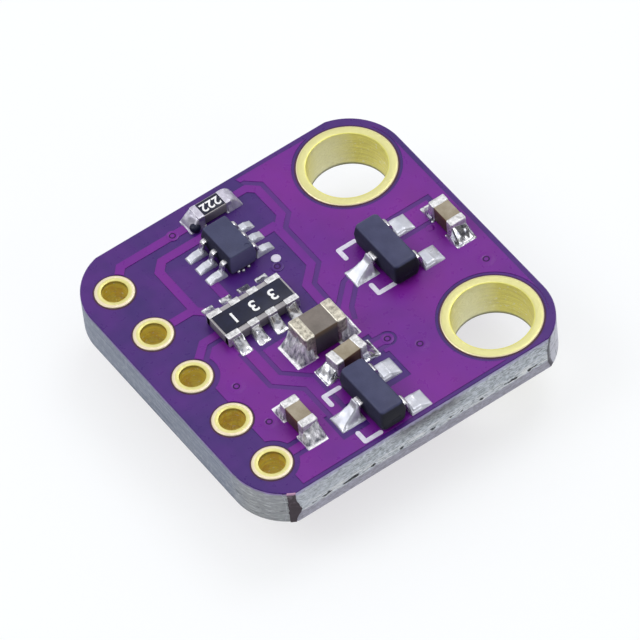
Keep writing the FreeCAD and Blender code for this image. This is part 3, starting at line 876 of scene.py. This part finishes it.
def plated(name, node, at, kind, finish):
    low, high = (corner.z * 1000 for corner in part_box(node))
    inner, outer, wall, step = board[kind + "Hole"] / 2, board[kind + "Ring"] / 2, 0.05, 0.05
    shelf = [(inner + (outer - inner) * share, rise) for share, rise in
             ((0.0, 0.024), (0.03, 0.006), (0.08, 0.0), (0.4, 0.0), (0.66, 0.0), (0.85, 0.002),
              (0.95, 0.01), (1.0, 0.03))]
    profile = [(inner, low + (high - low) * i / 6) for i in range(1, 6)]
    profile += [(radius, high - rise) for radius, rise in shelf]
    profile += [(outer, high - step), (inner + wall, high - step)]
    profile += [(inner + wall, low + step), (outer, low + step)]
    profile += [(radius, low + rise) for radius, rise in shelf[::-1]]
    piece = lathe(name, profile, 96)
    band = piece.data.attributes.new("band", "FLOAT", "POINT")
    for vertex, value in zip(piece.data.vertices, band.data):
        radius = math.hypot(vertex.co.x, vertex.co.y)
        inBarrel = radius < inner + 0.01 and low - 0.01 < vertex.co.z < high - 0.02
        value.value = 0.0 if inBarrel else max(0.03, (radius - inner) / (outer - inner))
    moved(piece, *at)
    dressed(piece, paint[finish], [node], 40)


for i, at in enumerate(mounts):
    plated("screwHoleGold%d" % (i + 1), "mounting_hole_plating_%d" % (i + 1), at, "mount", "screwGold")
for i, at in enumerate(headers):
    plated("pinHoleGold%d" % (i + 1), "header_hole_plating_%d" % (i + 1), at, "header", "pinGold")
print("plated holes made")


def makePrint():
    ink = {"stroke": 0.19, "low": boardHigh + 0.01, "high": boardHigh + 0.034}
    corners = [[(-1.38, 2.75), (-1.38, 2.03), (-0.9, 2.03)], [(1.2, 2.75), (1.2, 2.03), (0.72, 2.03)],
               [(3.88, -1.7), (3.88, -2.37), (4.36, -2.37)], [(6.5, -1.7), (6.5, -2.37), (6.02, -2.37)]]
    for i, path in enumerate(corners):
        strokes = [outlinePlate("stroke", ribbon(path[k:k + 2], ink["stroke"]), ink["low"], ink["high"])
                   for k in (0, 1)]
        ends = [rod("end", ink["stroke"] / 2, ink["low"], ink["high"], *point, 24) for point in path]
        mark = named("cornerMark%d" % (i + 1), merged(strokes[0], strokes[1:] + ends))
        dressed(softened(mark, 0.008, 1), paint["whiteInk"])
    dot = rod("firstPinDot", 0.19, ink["low"], ink["high"] + 0.01, -2.54, 0.0, 40)
    dressed(softened(dot, 0.02, 3), paint["whiteInk"])


makePrint()
print("white print made")


film = 0.04  # solder under a chip


def middle(node):
    low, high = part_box(node)
    return (low.x + high.x) * 500, (low.y + high.y) * 500


def heap(name, box, heightAt, columns=40, rows=30, corner=0.07):  # one pool of solder on a pad
    x0, y0, x1, y1 = box
    piece = sheet(name, columns, rows)
    for vertex in piece.data.vertices:
        x = x0 + (vertex.co.x + 0.5) * (x1 - x0)
        y = y0 + (vertex.co.y + 0.5) * (y1 - y0)
        edge = min(x - x0, x1 - x, y - y0, y1 - y)
        cx, cy = min(max(x, x0 + corner), x1 - corner), min(max(y, y0 + corner), y1 - corner)
        away = math.hypot(x - cx, y - cy)
        if away > corner:  # pull the pad's corners round
            x, y = cx + (x - cx) * corner / away, cy + (y - cy) * corner / away
        lip = min(1.0, max(0.0, edge) / 0.06)
        lip = math.sqrt(max(0.0, 1 - (1 - lip) ** 2))
        vertex.co = (x, y, lip * max(0.03, heightAt(x, y)))
    everything(piece)
    pull(z=-0.5)
    mesh = bmesh.from_edit_mesh(piece.data)
    for vertex in mesh.verts:
        if vertex.select:
            vertex.co.z = -0.004
    bmesh.update_edit_mesh(piece.data)
    letGo()
    return cleaned(piece, 0.0001)


def endJoint(chip, seed, row=0.0, width=None, pad=None, hollow=None):
    half, toe, climb = chip["length"] / 2, chip["toe"], chip["height"] * chip["climb"]
    hollow = hollow or chip["hollow"]
    wet = (width or chip["width"]) / 2
    reach = (pad or chip["pad"]) / 2

    def heightAt(x, y):
        out = x - half
        v = y - row
        share = clipped(out / (0.86 * toe))
        streaks = chip["streaks"] * rough(v, 0.3 * out, seed, 7.0, seed)
        lean = 1 + 0.25 * rough(v, 0, seed, 2.0, seed) + streaks
        fillet = climb * lean * (1 - share) ** hollow
        beside = clipped((abs(v) - wet + 0.03) / 0.07)
        fillet *= 1 - beside * (0.8 if out < 0 else 0.55)
        if out < -chip["cap"] * 0.7:
            fillet = 0
        ripple = chip["ripple"] * (rough(x, v, seed, 3.0, seed) + 0.4 * rough(x, v, seed, 6.5, seed))
        belly = 0.05 * math.sin(math.pi * share) * (1 - (v / reach) ** 2)
        return film + fillet + belly + ripple * (0.35 + min(1, max(0, out) * 6))

    return heap("joint", (half - chip["cap"] - 0.02, row - reach, half + toe, row + reach), heightAt)


def endCap(name, chip, width=None, extra=0.0):
    wide, tall = width or chip["width"], chip["height"]
    reach = chip["cap"] + extra
    piece = block(name, (reach, wide, tall), (chip["length"] / 2 - reach / 2, 0, film + tall / 2))
    everything(piece)
    bpy.ops.mesh.subdivide(number_cuts=5)
    letGo()
    softened(piece, chip["round"], 4, 60)
    for vertex in piece.data.vertices:
        bump = 0.006 * rough(vertex.co.x, vertex.co.y, vertex.co.z, 5.0, tall + extra)
        vertex.co.z += bump
        vertex.co.x += bump
    return piece


def flip(piece):
    return moved(piece, turn=180)


def title(node):  # top_regulator becomes topRegulator
    first, *others = node.split("_")
    return first + "".join(word.title() for word in others)


def placeParts(node, turn, made):
    x, y = middle(node + "_body")
    for part, (pieces, material, slot, angle) in made.items():
        whole = joined(title(node) + part.title(), pieces)
        moved(whole, x, y, boardHigh, turn)
        dressed(whole, paint[material], [node + "_" + part], angle)


smallChip = {"length": 1.46, "width": 0.7, "height": 0.8, "cap": 0.34, "pad": 0.92, "toe": 0.5,
             "climb": 0.72, "hollow": 2.2, "ripple": 0.035, "round": 0.09, "streaks": 0.04,
             "ceramic": "tanCeramic", "metal": "chipMetal", "slot": "capacitor_ceramic"}
largeChip = {"length": 1.9, "width": 1.16, "height": 1.22, "cap": 0.46, "pad": 1.4, "toe": 0.5,
             "climb": 0.7, "hollow": 1.7, "ripple": 0.05, "round": 0.12, "streaks": 0.35,
             "ceramic": "greyCeramic", "metal": "dullMetal", "slot": "large_capacitor_ceramic"}


def capacitor(node, chip, turn, solder, seed, steep=None, skew=0.0):
    long, wide, high = chip["length"], chip["width"], chip["height"]
    body = block("body", (long - 2 * chip["cap"] + 0.2, wide - 0.05, high - 0.05), (0, 0, film + high / 2))
    softened(body, 0.03, 3)
    caps = [endCap("cap", chip), flip(endCap("cap", chip, extra=0.02))]
    for piece in [body] + caps:
        moved(piece, turn=skew)
    joints = [endJoint(chip, seed, hollow=steep), flip(endJoint(chip, seed + 11))]
    placeParts(node, turn, {"body": ([body], chip["ceramic"], chip["slot"], 40),
                            "terminals": (caps, chip["metal"], "terminals", 60),
                            "solder": (joints, solder, "solder", 70)})


capacitor("top_capacitor", smallChip, 0, "solder", 2, steep=1.1)
capacitor("corner_capacitor", smallChip, 0, "streakedSolder", 5, steep=1.15)
capacitor("side_capacitor", dict(smallChip, climb=0.42, hollow=1.6), 90, "solder", 8, skew=5.0)
capacitor("large_capacitor", largeChip, 90, "streakedSolder", 3)
print("capacitors made")

resistorChip = {"length": 1.48, "width": 0.7, "height": 0.5, "cap": 0.27, "pad": 0.84, "toe": 0.45,
                "climb": 0.95, "hollow": 0.85, "ripple": 0.05, "round": 0.05, "streaks": 0.1}
arrayChip = {"length": 1.5, "width": 3.2, "height": 0.5, "cap": 0.28, "pad": 0.52, "toe": 0.63,
             "climb": 0.75, "hollow": 1.9, "ripple": 0.045, "round": 0.035, "streaks": 0.15}


def digits(name, words, size, places, turn):
    made = []
    for word, (x, y, z) in zip(words, places):
        letGo()
        bpy.ops.object.text_add(location=(0, 0, 0))
        line = bpy.context.object
        line.data.body, line.data.size = word, size
        line.data.extrude, line.data.offset = 0.006, size * 0.018
        line.data.align_x, line.data.align_y = "CENTER", "CENTER"
        bpy.ops.object.convert(target="MESH")
        made.append(moved(bpy.context.object, x, y, z, turn))
    return joined(name, made)


def slab(chip, inset, bare):  # white ceramic under black glaze
    length, width, high = chip["length"], chip["width"], film + chip["height"]
    body = block("body", (length - inset[0], width - inset[1], chip["height"] - inset[2]),
                 (0, 0, high - chip["height"] / 2 - 0.01))
    glaze = block("glaze", (length - 2 * chip["cap"] + 0.04, width - 2 * bare, 0.04), (0, 0, high - 0.022))
    return {"body": ([softened(body, 0.02, 2)], "whiteCeramic", "resistor_ceramic", 40),
            "glaze": ([softened(glaze, 0.012, 2)], "blackGlaze", "glaze", 40)}


def printCode(node, chip, words, size, steps):
    x, y = middle(node + "_body")
    places = [(x, y + step, boardHigh + film + chip["height"]) for step in steps]
    dressed(digits(title(node) + "Code", words, size, places, -90), paint["codeInk"])


def resistors():
    pieces = slab(resistorChip, (0.1, 0.01, 0.05), 0.05)
    caps = [endCap("cap", resistorChip), flip(endCap("cap", resistorChip, extra=0.02))]
    pieces["terminals"] = (caps, "lilacMetal", "terminals", 60)
    joints = [endJoint(resistorChip, 21, hollow=0.45), flip(endJoint(resistorChip, 26, hollow=0.7))]
    pieces["solder"] = (joints, "satinSolder", "solder", 70)
    placeParts("chip_resistor", 90, pieces)
    printCode("chip_resistor", resistorChip, ["222"], 0.56, [0])

    pieces = slab(arrayChip, (0.08, 0.0, 0.06), 0.08)
    contacts, joints = [], []
    for row, wide in ((-1.31, 0.58), (-0.4, 0.42), (0.4, 0.42), (1.31, 0.58)):
        for side in (0, 180):
            seed = 31 + 3 * row + side / 7
            pad = row * (1.2 / 1.31 if wide > 0.5 else 1)  # the outer pads lie a little further in
            contact = moved(endCap("contact", arrayChip, wide), 0, row, 0)
            contacts.append(moved(contact, turn=side))
            joints.append(moved(endJoint(arrayChip, seed, pad, min(wide, 0.52), 0.52), turn=side))
    pieces["terminals"] = (contacts, "chipMetal", "terminals", 60)
    pieces["solder"] = (joints, "solder", "solder", 70)
    placeParts("resistor_array", 0, pieces)
    printCode("resistor_array", arrayChip, ["3", "3", "1"], 0.72, (0.88, 0.02, -0.86))


resistors()
print("resistors made")

# Leads' rows: the way a row faces, then each lead's place along the package
regulator = {"length": 2.8, "width": 1.16, "low": 0.08, "high": 1.08, "draft": 0.08, "under": 0.05,
             "part": 0.6, "round": 0.09, "corner": 0.18, "toe": 1.2, "heel": 0.83, "lead": 0.42,
             "padStart": 0.62, "padEnd": 1.69, "pad": 0.88, "gap": 0.13, "climb": 0.16,
             "ripple": 0.016, "finish": "moulding", "rows": ((90, (-0.95, 0.95)), (-90, (0.0,)))}
transistor = {"length": 2.0, "width": 1.2, "low": 0.08, "high": 1.0, "draft": 0.08, "under": 0.05,
              "part": 0.56, "round": 0.05, "corner": 0.08, "toe": 1.1, "heel": 0.825, "lead": 0.22,
              "padStart": 0.65, "padEnd": 1.47, "pad": 0.4, "gap": 0.0, "climb": 0.16, "ripple": 0.012,
              "finish": "paleMoulding", "rows": ((90, (-0.65, 0, 0.65)), (-90, (-0.65, 0, 0.65)))}


def moulded(package):
    long, wide, low, part = (package[key] for key in ("length", "width", "low", "part"))

    def narrow(inset):
        bpy.ops.transform.resize(value=(1 - inset / (long / 2), 1 - inset / (wide / 2), 1))
        letGo()

    piece = block("body", (long, wide, part - low), (0, 0, (part + low) / 2))
    choose(piece, "faces", lambda face: face.normal.z > 0.9)
    pull(z=package["high"] - part)
    narrow(package["draft"])
    choose(piece, "faces", lambda face: face.normal.z < -0.9)
    narrow(package["under"])
    choose(piece, "edges", lambda edge: abs(edge.verts[0].co.z - edge.verts[1].co.z) > 0.1)
    bpy.ops.mesh.bevel(offset=package["corner"], segments=4, affect="EDGES")
    letGo()
    return softened(piece, package["round"], 3, 30)


def leadJoint(package, seed, row, flooded):  # a flooded joint runs up the whole lead
    foot, reach = package["lead"] / 2, package["pad"] / 2

    def heightAt(x, y):
        v = y - row
        beside = max(0, abs(v) - foot) / max(0.05, reach - foot)
        past = max(0, x - package["toe"] - 0.04) / (package["padEnd"] - package["toe"] - 0.04)
        behind = max(0, package["heel"] - x) / (package["heel"] - package["padStart"])
        cover = 0.15 * (1 - min(1, beside) ** 3) * (1 - past) ** 0.9 * (1 - min(1, behind) * 0.5)
        rise = math.exp(-((x - package["heel"] + 0.03) / 0.07) ** 2)
        heel = package["climb"] * rise * max(0, 1 - beside * 1.6)
        if flooded:
            down = clipped((package["padEnd"] - x) / (package["padEnd"] - package["heel"]))
            crest = 0.26 * (1 - down)  # the crest runs to one corner of the pad
            half = reach + (foot + 0.05 - reach) * down ** 0.6 + (crest if v < crest else -crest)
            inside = clipped((half + 0.05 - abs(v - crest)) / 0.13) * clipped((x - 0.73) / 0.06)
            cover = max(0.02, 0.59 * down ** 1.08 * inside)
        ripple = package["ripple"] * (rough(x, v, seed, 2.4, seed) + 0.35 * rough(x, v, seed, 5.5, seed))
        return film + cover + heel + ripple

    start = package["padStart"] + (0 if flooded else package["gap"])
    return heap("joint", (start, row - reach, package["padEnd"], row + reach), heightAt, 44, 28, 0.04)


def sharpened(node, name, width):  # the frame's own solid, with its edges eased
    piece = bpy.data.objects.new(name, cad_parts[node].data.copy())
    bpy.context.collection.objects.link(piece)
    hold(piece)
    piece.scale = (1000, 1000, 1000)
    pinDown()
    everything(piece)
    bpy.ops.mesh.remove_doubles(threshold=0.0005)
    bpy.ops.mesh.dissolve_limited(angle_limit=math.radians(2))
    letGo()
    return softened(piece, width, 2, 40)


def packages():
    for node, package in (("top_regulator", regulator), ("side_regulator", regulator),
                          ("dual_transistor", transistor)):
        joints = [moved(leadJoint(package, 40 + 5 * k + turn / 9 + len(node), row, len(line) == 1), turn=turn)
                  for turn, line in package["rows"] for k, row in enumerate(line)]
        body = moulded(package)
        if package is transistor:
            body = cutBy(body, [rod("dimple", 0.1, package["high"] - 0.02, 2, 0.78, 0.33, 32)])
        else:
            gate = block("gate", (0.1, 0.42, 0.16), (package["length"] / 2 + 0.02, 0.05, 0.5))
            body = cutBy(body, [softened(gate, 0.03, 2)])
        placeParts(node, 0, {"body": ([body], package["finish"], "moulding", 35),
                             "solder": (joints, "paleSolder", "solder", 70)})
        leads = sharpened(node + "_leads", title(node) + "Leads", 0.012)
        dressed(leads, paint["tinPlate"], [node + "_leads"], 50)


packages()
print("packages made")


def spatter():  # beads of flux and solder left beside the joints, and a dark bead that paints a dark reflection
    # darkReflectionBead: a dark glossy bead painted in for a dark reflection in a fillet
    beads = {"darkReflectionBead": (-5.56, -1.55, 0.14, 0.22, 0.8),  # x, y, rise, radius, squash
             "fluxBlot": (-0.12, 5.32, 0.01, 0.17, 0.35),
             "solderBead1": (-5.45, -1.45, 0.06, 0.06, 1),
             "solderBead2": (-2.91, -1.44, 0.03, 0.08, 0.9),
             "solderBead3": (-2.83, -1.27, 0.03, 0.075, 0.9),
             "solderBead4": (-2.87, -1.0, 0.03, 0.08, 0.9)}
    looks = {"darkReflectionBead": ("blackGlaze", "glaze"), "fluxBlot": ("maskOverCopper", "board")}
    for name, (x, y, rise, radius, squash) in beads.items():
        finish, slot = looks.get(name, ("solder", "solder"))
        letGo()
        bpy.ops.mesh.primitive_uv_sphere_add(segments=24, ring_count=14, radius=radius,
                                             location=(x, y, boardHigh + rise))
        bead = named(name)
        pinDown()
        everything(bead)
        bpy.ops.transform.resize(value=(1, 1, squash), center_override=(x, y, boardHigh + rise))
        bpy.ops.mesh.select_all(action="SELECT")
        bpy.ops.mesh.bisect(plane_co=(x, y, boardHigh - 0.01), plane_no=(0, 0, -1), use_fill=True,
                            clear_outer=True)
        dressed(cleaned(bead, 0.0001), paint[finish], angle=60)


spatter()
print("spatter made")


# What the frame already shapes well, by the end of its name
coats = {"_solder": "solder", "_leads": "tinPlate", "_terminals": "chipMetal", "_glaze": "blackGlaze",
         "large_capacitor_body": "greyCeramic", "capacitor_body": "tanCeramic",
         "resistor_body": "whiteCeramic", "resistor_array_body": "whiteCeramic",
         "regulator_body": "moulding", "transistor_body": "moulding",
         "sensor_base": "sensorLaminate", "sensor_housing": "sensorShell",
         "sensor_window": "sensorGlass", "emitter": "emitterDie", "sensor_detector": "silicon"}


def repaint():
    for node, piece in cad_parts.items():
        for ending, material in coats.items():
            if node.endswith(ending) and not piece.hide_render:
                piece.data.materials.clear()
                piece.data.materials.append(paint[material])
                break


repaint()
print("carried parts painted")
